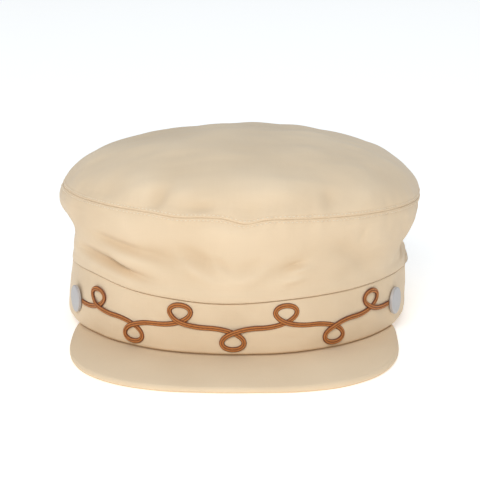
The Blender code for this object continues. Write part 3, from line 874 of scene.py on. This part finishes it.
class CapStitches(bpy.types.PropertyGroup):
    """The topstitching beside the crown's seam."""

    thread: FloatVectorProperty(
        name="Thread", description="Colour of the sewing thread",
        default=(0.96, 0.81, 0.61), subtype="COLOR", min=0.0, max=1.0)
    pitch_mm: FloatProperty(
        name="Pitch", description="Distance from one stitch to the next, in millimetres",
        default=2.15, min=1.0, max=6.0)
    length_mm: FloatProperty(
        name="Length", description="Length of a stitch on the cloth, in millimetres",
        default=1.35, min=0.5, max=5.0)
    thickness_mm: FloatProperty(
        name="Thickness", description="Thickness of the thread, in millimetres",
        default=0.55, min=0.1, max=1.0)
    row_mm: FloatProperty(
        name="Row distance", description="Distance of a row from the seam, in millimetres",
        default=1.4, min=0.5, max=6.0)
    groove_mm: FloatProperty(
        name="Seam depth", description="Depth of the seam's groove, in millimetres",
        default=0.34, min=0.0, max=2.0)
    pucker_mm: FloatProperty(
        name="Pucker", description="Height of the small puckers at the seam, in millimetres",
        default=0.28, min=0.0, max=1.0)


class CapCord(bpy.types.PropertyGroup):
    """The stitched cord on the front of the band."""

    # Light is painted highlight on the cord's two ridges; dark is painted shade in the dip between them,
    # and also darkens the cord's edges
    light: FloatVectorProperty(
        name="Light", description="The cord's ridges",
        default=(0.68, 0.25, 0.055), subtype="COLOR", min=0.0, max=1.0)
    dark: FloatVectorProperty(
        name="Dark", description="The cord's edges and middle line",
        default=(0.15, 0.030, 0.006), subtype="COLOR", min=0.0, max=1.0)
    width_mm: FloatProperty(
        name="Width", description="Width of the cord, in millimetres", default=2.5, min=0.5, max=5.0)
    height_mm: FloatProperty(
        name="Height", description="Height of the cord on the band, in millimetres",
        default=0.85, min=0.2, max=2.0)
    stitch_mm: FloatProperty(
        name="Stitch spacing", description="Distance between the cord's fine stitches, in millimetres",
        default=0.5, min=0.1, max=2.0)
    crossing_mm: FloatProperty(
        name="Crossing lift",
        description="How far the cord rises where it crosses itself, in millimetres",
        default=0.75, min=0.0, max=2.0)


class CapButtons(bpy.types.PropertyGroup):
    """The two flat buttons."""

    grey: FloatVectorProperty(
        name="Grey", description="Colour of the metal",
        default=(0.575, 0.56, 0.56), subtype="COLOR", min=0.0, max=1.0)
    edge_mm: FloatProperty(
        name="Edge radius", description="Rounding of the disc's edge, in millimetres",
        default=0.45, min=0.05, max=0.8)


class CapStage(bpy.types.PropertyGroup):
    """Camera, floor and lights."""

    lens: FloatProperty(
        name="Lens", description="Focal length for a 36 mm sensor, in millimetres",
        default=158.9, min=20.0, max=400.0)
    distance: FloatProperty(
        name="Distance", description="From the camera to the middle of the cap",
        default=1.1, min=0.3, max=5.0, unit="LENGTH")
    bearing: FloatProperty(
        name="Bearing", description="The camera's turn from the front towards +X",
        default=math.radians(1.2), subtype="ANGLE")
    elevation: FloatProperty(
        name="Elevation", description="The camera's angle over the floor",
        default=math.radians(15.4), subtype="ANGLE")
    aim: FloatVectorProperty(
        name="Aim", description="The point that the camera looks at",
        default=(0.0, 0.0189, 0.0359), subtype="TRANSLATION", unit="LENGTH")
    floor: FloatVectorProperty(
        name="Floor", description="Colour of the floor",
        default=(0.95, 0.93, 0.90), subtype="COLOR", min=0.0, max=1.0)
    floor_glow: FloatProperty(
        name="Floor glow", description="Light that the white floor adds", default=0.42, min=0.0, max=2.0)
    sky: FloatProperty(
        name="Room light", description="Strength of the light from all round",
        default=0.38, min=0.0, max=3.0)
    key: FloatProperty(
        name="Key light", description="Power of the large front light, in watts", default=13.5, min=0.0)
    fill: FloatProperty(
        name="Top light", description="Power of the light overhead, in watts", default=8.5, min=0.0)


class CAP_OT_crown(bpy.types.Operator):
    """Make the crown's two cloth panels and the topstitching beside their seam"""

    bl_idname = "cap.crown"
    bl_label = "Crown"

    def panel(self, name, runs, nodes, seam_at_end, scene):
        """One panel of the crown. Returns its points, normals and distances from the seam."""
        level, bearing = np.meshgrid(
            levels_of(runs), np.linspace(-math.pi, math.pi, CLOTH_COLUMNS + 1), indexing="ij")
        base = crown_base(bearing, level)
        outward = crown_outward(bearing, level)
        seam = crown_base(bearing[0], np.full_like(bearing[0], 2.0))
        if seam_at_end:
            share = (base[..., 2] - band_top(bearing)) / (seam[..., 2] - band_top(bearing[0]))
            hold = smooth_step(level / BAND_HOLD) * smooth_step((2.0 - level) / SEAM_HOLD)
            fine_hold = smooth_step(level / LIP_HOLD)
            shift = hold * fold_shift(SIDE_FOLDS + FINE_FOLDS, bearing, share)
        else:
            radius = np.maximum(np.hypot(base[..., 0], base[..., 1]), 1.0)
            hold = smooth_step((level - 2.0) / PUFF_HOLD) * smooth_step((3.0 - level) / POLE_HOLD)
            fine_hold = np.ones_like(level)
            shift = hold * puff_shift(bearing, level, radius)
        folded = base + outward * shift[..., None]

        lengths = column_lengths(folded)
        distance = lengths[-1] - lengths if seam_at_end else lengths
        away = smooth_step(distance / WAVE_START) * fine_hold
        waves = uneven(folded, CROWN_SWELLS) + CROWN_RIPPLE_SHARE * uneven(folded, CROWN_RIPPLES)
        fine = scene.cap_canvas.uneven_mm * waves * away
        fine += seam_relief(scene.cap_stitches, distance, seam)
        if seam_at_end:
            fine += back_seam(bearing, CROWN_HALF_WIDTH) * fine_hold
        points = folded + outward * fine[..., None]
        # Relief for the canvas's colour, with painted shade along the seam: painted shade in creases and
        # dents, painted highlight on ridges and puffs
        relief = shift + fine - SEAM_SHADE * bump(distance, SEAM_SHADE_WIDTH)
        finish = canvas_finish(name + "_canvas", scene.cap_canvas)
        if seam_at_end:
            points += self.settling(bearing, level, base, outward)
            run = np.broadcast_to(row_lengths(seam), distance.shape)
            thread = np.stack((run, lengths, np.zeros_like(run)), axis=-1)
            rows = np.concatenate((points, inner_face(points, CROWN_WALL)[::-1], points[:1]))
            thread = np.concatenate((thread, thread[::-1], thread[:1]))
            relief = np.concatenate((relief, relief[::-1], relief[:1]))
            show(name, grid_mesh(name, rows, thread, relief), finish, nodes)
        else:
            mesh = grid_mesh(name, points, folded * (1.0, 1.0, 0.0), relief)
            weld(mesh)
            thicken(show(name, mesh, finish, nodes), CROWN_WALL)
        return points, outward, distance

    def settling(self, bearing, level, base, outward):
        """How the side panel leans at the left and hangs over the band's edge."""
        hang = overhang(bearing) * (level > 0.0)
        lean = left_lean(bearing, base[..., 2])
        lean = lean * smooth_step((level - LEAN_FROM_LEVEL) / LEAN_IN_SPAN)
        lean = lean * (1.0 - smooth_step(level / LEAN_OUT_SPAN))
        outwards = OVERHANG * hang * bump(level - HANG_LEVEL, HANG_SPAN) + lean
        move = outward_level(outward) * outwards[..., None]
        move[..., 2] -= OVERHANG_DROOP * hang * bump(level - DROOP_LEVEL, DROOP_SPAN)
        return move

    def stitch_pattern(self, settings):
        """The points and faces of one stitch, lying along z."""
        work = bmesh.new()
        bmesh.ops.create_uvsphere(work, u_segments=STITCH_SIDES, v_segments=STITCH_SIDES, radius=1.0)
        pattern = np.array([vertex.co for vertex in work.verts])
        faces = [[vertex.index for vertex in face.verts] for face in work.faces]
        work.free()
        pattern[:, 2] = np.sign(pattern[:, 2]) * np.abs(pattern[:, 2]) ** STITCH_BLUNTNESS
        tall = settings.thickness_mm * STITCH_TALLNESS
        return pattern * np.array((settings.thickness_mm, tall, settings.length_mm)) / 2.0, faces

    def stitches(self, name, panels, settings):
        """A row of stitches on each panel beside the seam, as one mesh."""
        pattern, faces = self.stitch_pattern(settings)
        around = np.arctan2(pattern[:, 1], pattern[:, 0])
        verts, all_faces, thread = [], [], []
        for points, outward, distance in panels:
            columns = np.arange(points.shape[1])
            nearest = np.argmin(np.abs(distance - settings.row_mm), axis=0)
            normals = outward[nearest, columns]
            line = np.array([row_point(distance[:, c], points[:, c], settings.row_mm) for c in columns])
            lengths = row_lengths(line)
            count = int(lengths[-1] / settings.pitch_mm)
            middles = (np.arange(count) + 0.5) * lengths[-1] / count
            for middle in middles:
                centre = read_line(line, lengths, middle)
                ahead = read_line(line, lengths, middle + STITCH_AHEAD)
                up = unit(read_line(normals, lengths, middle))
                if middle + STITCH_AHEAD < lengths[-1]:
                    way = unit(ahead - centre)
                turn = np.stack((unit(np.cross(up, way)), up, way))
                start = len(verts) * len(pattern)
                verts.append(centre + up * settings.thickness_mm * STITCH_LIFT + pattern @ turn)
                all_faces += [[start + corner for corner in face] for face in faces]
                thread.append(np.stack((pattern[:, 2] + middle, around, around * 0.0), axis=-1))
        mesh = bpy.data.meshes.new(name)
        mesh.from_pydata(to_world(np.concatenate(verts)).tolist(), [], all_faces)
        store(mesh, "thread", "FLOAT_VECTOR", np.concatenate(thread))
        mesh.shade_smooth()
        show(name, mesh, stitch_finish(name + "_thread", settings), ())

    def execute(self, context):
        scene = context.scene
        side = self.panel("crown_side_cloth", SIDE_RUNS, ("crown_side",), True, scene)
        top = self.panel("crown_top_cloth", TOP_RUNS, ("crown_top",), False, scene)
        self.stitches("seam_stitches", (side, top), scene.cap_stitches)
        return {"FINISHED"}


class CAP_OT_band(bpy.types.Operator):
    """Make the cloth-covered band round the head"""

    bl_idname = "cap.band"
    bl_label = "Band"

    def section(self):
        """The band's closed section: an inset as a share of the wall, a share of the height
        between the two rounded edges, and a bulge past them in half walls."""
        outer = [(0.0, share, 0.0) for share in np.linspace(0.0, 1.0, BAND_OUTER_ROWS)]
        top = []
        for turn in np.linspace(0.0, math.pi, BAND_TOP_ROWS)[1:-1]:
            across = math.copysign(abs(math.cos(turn)) ** BAND_EDGE_POWER, math.cos(turn))
            top.append((0.5 - 0.5 * across, 1.0, math.sin(turn) ** BAND_EDGE_POWER))
        inner = [(1.0, share, 0.0) for share in np.linspace(1.0, 0.0, BAND_INNER_ROWS)]
        foot = [(0.5 + 0.5 * math.cos(turn), 0.0, -math.sin(turn))
                for turn in np.linspace(0.0, math.pi, BAND_FOOT_ROWS)[1:]]
        return np.array(outer + top + inner + foot)

    def execute(self, context):
        scene = context.scene
        section = self.section()
        edge = BAND_WALL / 2.0
        step, bearing = np.meshgrid(
            np.arange(len(section)), np.linspace(-math.pi, math.pi, BAND_COLUMNS + 1), indexing="ij")
        inset, share, bulge = section[step, 0], section[step, 1], section[step, 2]
        wall, outward = band_wall(bearing)
        points = wall - outward * (inset * BAND_WALL)[..., None]
        height = edge + share * (band_top(bearing) - 2.0 * edge) + bulge * edge
        points[..., 2] = height
        outside = smooth_step(1.0 - inset)
        height_share = np.clip(height / band_top(bearing), 0.0, 1.0)
        puff = BAND_PUFF * (np.sin(math.pi * height_share) ** BAND_PUFF_POWER - 1.0)
        waves = BAND_SWELL_SHARE * uneven(points, BAND_SWELLS)
        waves += BAND_RIPPLE_SHARE * uneven(points, BAND_RIPPLES)
        soft = scene.cap_canvas.uneven_mm * waves
        fine = (puff + soft + back_seam(bearing, BAND_HALF_WIDTH)) * outside
        points = points + outward * (fine + left_lean(bearing, height))[..., None]
        run = np.broadcast_to(row_lengths(wall[0]), step.shape)
        thread = np.stack((run, column_lengths(points), np.zeros_like(run)), axis=-1)
        # The band's relief goes into the canvas's colour: painted shade at its edges, back seam and
        # hollows, painted highlight on its swells
        mesh = grid_mesh("band_cloth", points, thread, fine)
        finish = canvas_finish("band_cloth_canvas", scene.cap_canvas)
        show("band_cloth", mesh, finish, ("band",))
        return {"FINISHED"}


class CAP_OT_peak(bpy.types.Operator):
    """Make the covered peak with its rolled rim"""

    bl_idname = "cap.peak"
    bl_label = "Peak"

    def ends(self):
        """The bearings, on the peak's outline and on the band's, where the two meet."""
        low, high = PEAK_END_RANGE
        for _ in range(HALVINGS):
            middle = (low + high) / 2.0
            x, y, _ = plan_curve(np.array(middle), PEAK_HALF_WIDTH, PEAK_HALF_LENGTH, PEAK_POWER)
            y += PEAK_CENTRE
            reach = (abs(x) / BAND_HALF_WIDTH) ** BAND_POWER + (abs(y) / BAND_HALF_LENGTH) ** BAND_POWER
            if reach > 1.0:
                low = middle
            else:
                high = middle
        bearing = math.asin(min(x / BAND_HALF_WIDTH, 1.0) ** (BAND_POWER / 2.0))
        return low, math.pi - bearing if y > 0.0 else bearing

    def execute(self, context):
        scene = context.scene
        peak_end, band_end = self.ends()
        radius = PEAK_THICKNESS / 2.0
        fall = PEAK_DROP / (PEAK_FRONT + BAND_HALF_LENGTH)
        upright = math.pi / 2.0
        under = [(share, -upright) for share in np.linspace(0.0, 1.0, PEAK_UNDER_ROWS)]
        rim_turn = [(1.0, bend) for bend in np.linspace(-upright, upright, PEAK_RIM_ROWS)[1:-1]]
        inwards = np.linspace(0.0, 1.0, PEAK_ABOVE_ROWS) ** PEAK_ROW_CROWDING
        above = [(share, upright) for share in 1.0 - inwards]
        section = np.array(under + rim_turn + above + under[:1])

        step, side = np.meshgrid(
            np.arange(len(section)), np.linspace(-1.0, 1.0, PEAK_COLUMNS + 1), indexing="ij")
        shown, bend = section[step, 0], section[step, 1]
        rim = plan_curve(side * peak_end, PEAK_HALF_WIDTH, PEAK_HALF_LENGTH, PEAK_POWER)
        rim[..., 1] += PEAK_CENTRE
        rim[..., 2] = radius - fall * (BAND_HALF_LENGTH - rim[..., 1])
        root = plan_curve(
            side * band_end, BAND_HALF_WIDTH - BAND_WALL, BAND_HALF_LENGTH - BAND_WALL, BAND_POWER)
        root[..., 2] = -PIECE_GAP - radius
        width = np.linalg.norm(rim - root, axis=-1)
        covered = np.minimum(BAND_WALL / width, 1.0)
        inward = unit(root - rim)
        share = covered * smooth_step(shown / PEAK_COVERED_SPAN) + (1.0 - covered) * shown
        points = root + (rim + inward * radius - root) * share[..., None]
        points -= inward * (radius * np.cos(bend))[..., None]
        camber = PEAK_CAMBER * np.minimum((1.0 - covered) * width / PEAK_REACH, 1.0)
        points[..., 2] += radius * np.sin(bend) + camber * np.sin(math.pi * shown)

        lengths = column_lengths(points)
        turn_row = len(under) + len(rim_turn) // 2
        from_rim = np.abs(lengths - lengths[turn_row])
        line = PEAK_LINE_DEPTH * bump(from_rim - PEAK_LINE_PLACE, PEAK_LINE_WIDTH)
        joint = JOINT_DEPTH * bump(bend - RIM_JOINT_BEND, RIM_JOINT_SPAN) * (shown == 1.0)
        soft = PEAK_SWELL_SHARE * scene.cap_canvas.uneven_mm * uneven(points, PEAK_SWELLS)
        hold = smooth_step(shown / PEAK_ROOT_HOLD) * smooth_step(width / PEAK_END_HOLD)
        fine = (soft - line) * hold - joint
        facing = np.stack((np.zeros_like(bend), np.zeros_like(bend), np.sin(bend)), axis=-1)
        facing -= inward * np.cos(bend)[..., None]
        points = points + facing * fine[..., None]
        run = np.broadcast_to(row_lengths(rim[0]), step.shape)
        thread = np.stack((run, lengths, np.zeros_like(run)), axis=-1)
        # Painted shade: the joint under the rim and the pressed line are darkened in colour, the joint
        # well beyond its own depth
        relief = fine - JOINT_SHADE * joint
        mesh = grid_mesh("peak_cloth", close_ends(points), close_ends(thread), close_ends(relief))
        weld(mesh)
        finish = canvas_finish("peak_cloth_canvas", scene.cap_canvas, sheen=0.06)
        show("peak_cloth", mesh, finish, ("peak",))
        return {"FINISHED"}


class CAP_OT_buttons(bpy.types.Operator):
    """Turn the two flat metal buttons"""

    bl_idname = "cap.buttons"
    bl_label = "Buttons"

    def profile(self, edge):
        """Half of a button's section: distances from its axis and heights over the band."""
        base = PIECE_GAP
        top = base + BUTTON_THICKNESS
        back = -BAND_WALL - PIECE_GAP
        deep = back - BACK_THICKNESS
        face = [(radius, top) for radius in (0.0, 0.5, 1.5, 3.0, 4.5)]
        upper = [(BUTTON_RADIUS - edge + edge * math.sin(turn), top - edge + edge * math.cos(turn))
                 for turn in np.linspace(0.0, math.pi / 2.0, 7)]
        soft = edge * 0.5
        lower = [(BUTTON_RADIUS - soft + soft * math.cos(turn), base + soft - soft * math.sin(turn))
                 for turn in np.linspace(0.0, math.pi / 2.0, 5)]
        stem = [(SHANK_RADIUS + STEM_FLARE, base), (SHANK_RADIUS, base - BUTTON_BEVEL),
                (SHANK_RADIUS, back + BUTTON_BEVEL / 2.0), (SHANK_RADIUS, back)]
        rear = [(BACK_RADIUS - BUTTON_BEVEL, back), (BACK_RADIUS, back - BUTTON_BEVEL),
                (BACK_RADIUS, deep + BUTTON_BEVEL), (BACK_RADIUS - BUTTON_BEVEL, deep), (0.0, deep)]
        return face + upper + lower + stem + rear

    def execute(self, context):
        settings = context.scene.cap_buttons
        profile = np.array(self.profile(settings.edge_mm))
        for way, node in ((-1.0, "button_left"), (1.0, "button_right")):
            wall, outward = band_wall(np.array(way * BUTTON_BEARING))
            seat = wall + (0.0, 0.0, BUTTON_HEIGHT)
            level = unit(np.cross((0.0, 0.0, 1.0), outward))
            raised = np.cross(outward, level)
            step, turn = np.meshgrid(
                np.arange(len(profile)), np.linspace(math.tau, 0.0, TURN_STEPS + 1), indexing="ij")
            radius, height = profile[step, 0], profile[step, 1]
            x, y = radius * np.cos(turn), radius * np.sin(turn)
            points = seat + x[..., None] * level + y[..., None] * raised + height[..., None] * outward
            thread = np.stack((x, y, height), axis=-1)
            mesh = grid_mesh(node + "_turned", points, thread, height)
            weld(mesh)
            mesh.set_sharp_from_angle(angle=math.radians(60))
            finish = metal_finish(node + "_metal", settings)
            show(node + "_turned", mesh, finish, (node,))
        return {"FINISHED"}


class CAP_OT_trim(bpy.types.Operator):
    """Lay the stitched cord in its line of loops between the buttons"""

    bl_idname = "cap.trim"
    bl_label = "Corded trim"

    def crossing(self, spacing):
        """The phase at which a loop first passes the place where it crosses itself."""
        low, high = 0.0, math.acos(-min(spacing / (math.tau * LOOP_SWING), 1.0))
        for _ in range(HALVINGS):
            middle = (low + high) / 2.0
            if spacing * middle / math.tau + LOOP_SWING * math.sin(middle) < spacing / 2.0:
                low = middle
            else:
                high = middle
        return low

    def path(self, half_run, lift):
        """The cord's places along the band, over its middle line and off its wall."""
        start = TRIM_LEAD - half_run
        spacing = -2.0 * start / LOOP_COUNT
        over = math.tau - self.crossing(spacing)
        lead = np.linspace(-half_run - TRIM_TUCK, start, LEAD_POINTS)[:-1]
        places = [(x, 0.0, 0.0) for x in lead]
        for loop in range(LOOP_COUNT):
            way = 1.0 if loop % 2 == 0 else -1.0
            for step in range(LOOP_POINTS):
                phase = math.tau * step / LOOP_POINTS
                x = spacing * (loop + phase / math.tau) + LOOP_SWING * math.sin(phase)
                y = way * LOOP_HEIGHT * (1.0 - math.cos(phase)) / 2.0
                places.append((start + x, y, lift * bump((phase - over) / CROSSING_ANGLE, 1.0)))
        places += [(-start, 0.0, 0.0)] + [(-x, 0.0, 0.0) for x in lead[::-1]]
        return np.array(places)

    def section(self):
        """The cord's closed section: shares of its half width and of its height, with a dip
        between two ridges."""
        over = np.cos(np.linspace(math.pi, 0.0, CORD_TOP_POINTS))
        foot = np.linspace(1.0, -1.0, CORD_FOOT_POINTS)[1:]
        ridges = (1.0 - over ** 2) ** CORD_FLATNESS * (1.0 - CORD_DIP * bump(over, CORD_DIP_WIDTH))
        return np.concatenate((over, foot)), np.concatenate((ridges, np.zeros_like(foot)))

    def execute(self, context):
        cord = context.scene.cap_cord
        half_bearings = np.linspace(0.0, BUTTON_BEARING, TRIM_SAMPLES)
        half_run = row_lengths(band_wall(half_bearings)[0])[-1] - BUTTON_RADIUS - TRIM_END_GAP
        places = self.path(half_run, cord.crossing_mm)

        bearings = np.linspace(-math.pi / 2.0, math.pi / 2.0, 2 * TRIM_SAMPLES - 1)
        along = row_lengths(band_wall(bearings)[0])
        line, outward = band_wall(np.interp(places[:, 0], along - along[-1] / 2.0, bearings))
        line = line + outward * places[:, 2:]
        line[:, 2] = BAND_FRONT_HEIGHT / 2.0 + places[:, 1]
        way = unit(np.gradient(line, axis=0))
        side = unit(np.cross(outward, way))
        up = np.cross(way, side)

        lengths = row_lengths(line)
        from_end = np.minimum(lengths, lengths[-1] - lengths)
        half_width = cord.width_mm / 2.0 * np.sqrt(smooth_step(from_end / TRIM_END_ROUND))
        rise = smooth_step((from_end - TRIM_RISE_START) / TRIM_RISE_RUN)
        tall = TRIM_TUCK_HEIGHT + (cord.height_mm - TRIM_TUCK_HEIGHT) * rise
        tall = tall * smooth_step(from_end / TRIM_END_SLOPE)
        across, profile = self.section()
        points = line + across[:, None, None] * side * half_width[:, None]
        points = points + profile[:, None, None] * up * tall[:, None]

        run = np.broadcast_to(lengths, points.shape[:2])
        wide = np.broadcast_to(across[:, None], run.shape)
        thread = np.stack((run, wide, np.zeros_like(run)), axis=-1)
        mesh = grid_mesh("corded_trim_laid", points, thread, np.zeros_like(run))
        weld(mesh)
        finish = cord_finish("corded_trim_thread", cord)
        show("corded_trim_laid", mesh, finish, ("corded_trim",))
        return {"FINISHED"}


class CAP_OT_stage(bpy.types.Operator):
    """Set the camera, the pale floor and the soft lights"""

    bl_idname = "cap.stage"
    bl_label = "Camera, floor and lights"

    def light(self, name, place, aim, size, power, tint):
        """A large soft lamp that faces a point."""
        lamp = bpy.data.lights.new(name, "AREA")
        lamp.shape = "RECTANGLE"
        lamp.size, lamp.size_y = size
        lamp.energy = power
        lamp.color = tint
        made = bpy.data.objects.new(name, lamp)
        bpy.context.scene.collection.objects.link(made)
        made.location = place
        made.rotation_euler = (Vector(place) - aim).to_track_quat("Z", "Y").to_euler()

    def execute(self, context):
        scene, stage = context.scene, context.scene.cap_stage
        aim = Vector(stage.aim)
        camera = bpy.data.objects.new("camera", bpy.data.cameras.new("camera"))
        scene.collection.objects.link(camera)
        camera.data.lens = stage.lens
        camera.data.sensor_width = SENSOR_WIDTH
        level = math.cos(stage.elevation)
        away = Vector((0.0, 0.0, math.sin(stage.elevation)))
        away.x = level * math.sin(stage.bearing)
        away.y = -level * math.cos(stage.bearing)
        camera.location = aim + away * stage.distance
        camera.rotation_euler = away.to_track_quat("Z", "Y").to_euler()
        scene.camera = camera

        work = bmesh.new()
        bmesh.ops.create_grid(work, x_segments=8, y_segments=8, size=FLOOR_HALF_SIZE)
        mesh = bpy.data.meshes.new("floor")
        work.to_mesh(mesh)
        work.free()
        floor = bpy.data.objects.new("floor", mesh)
        scene.collection.objects.link(floor)
        floor.data.materials.append(floor_finish("pale_floor", stage))

        world = bpy.data.worlds.new("room")
        world.use_nodes = True
        background = world.node_tree.nodes["Background"]
        background.inputs["Color"].default_value = ROOM_TINT
        background.inputs["Strength"].default_value = stage.sky
        scene.world = world
        scene.view_settings.view_transform = "Standard"
        self.light("key_light", KEY_PLACE, aim, KEY_SIZE, stage.key, KEY_TINT)
        self.light("top_light", TOP_PLACE, aim, TOP_SIZE, stage.fill, TOP_TINT)
        return {"FINISHED"}


class CAP_PT_sidebar(bpy.types.Panel):
    """The cap's pieces and their settings"""

    bl_idname = "CAP_PT_sidebar"
    bl_label = "Soft Peaked Cap"
    bl_space_type = "VIEW_3D"
    bl_region_type = "UI"
    bl_category = "Cap"

    def draw(self, context):
        for operator in OPERATORS:
            self.layout.operator(operator.bl_idname)
        for name in SETTINGS:
            box = self.layout.box()
            group = getattr(context.scene, name)
            for key in group.__annotations__:
                box.prop(group, key)


OPERATORS = (CAP_OT_crown, CAP_OT_band, CAP_OT_peak, CAP_OT_buttons, CAP_OT_trim, CAP_OT_stage)
SETTINGS = {
    "cap_canvas": CapCanvas,
    "cap_stitches": CapStitches,
    "cap_cord": CapCord,
    "cap_buttons": CapButtons,
    "cap_stage": CapStage,
}


def register():
    for name, group in SETTINGS.items():
        bpy.utils.register_class(group)
        setattr(bpy.types.Scene, name, PointerProperty(type=group))
    for kind in (*OPERATORS, CAP_PT_sidebar):
        bpy.utils.register_class(kind)


def unregister():
    for kind in (CAP_PT_sidebar, *reversed(OPERATORS)):
        bpy.utils.unregister_class(kind)
    for name, group in reversed(SETTINGS.items()):
        delattr(bpy.types.Scene, name)
        bpy.utils.unregister_class(group)


def main():
    register()
    bpy.ops.cap.crown()
    bpy.ops.cap.band()
    bpy.ops.cap.peak()
    bpy.ops.cap.buttons()
    bpy.ops.cap.trim()
    bpy.ops.cap.stage()


if __name__ == "__main__":
    main()
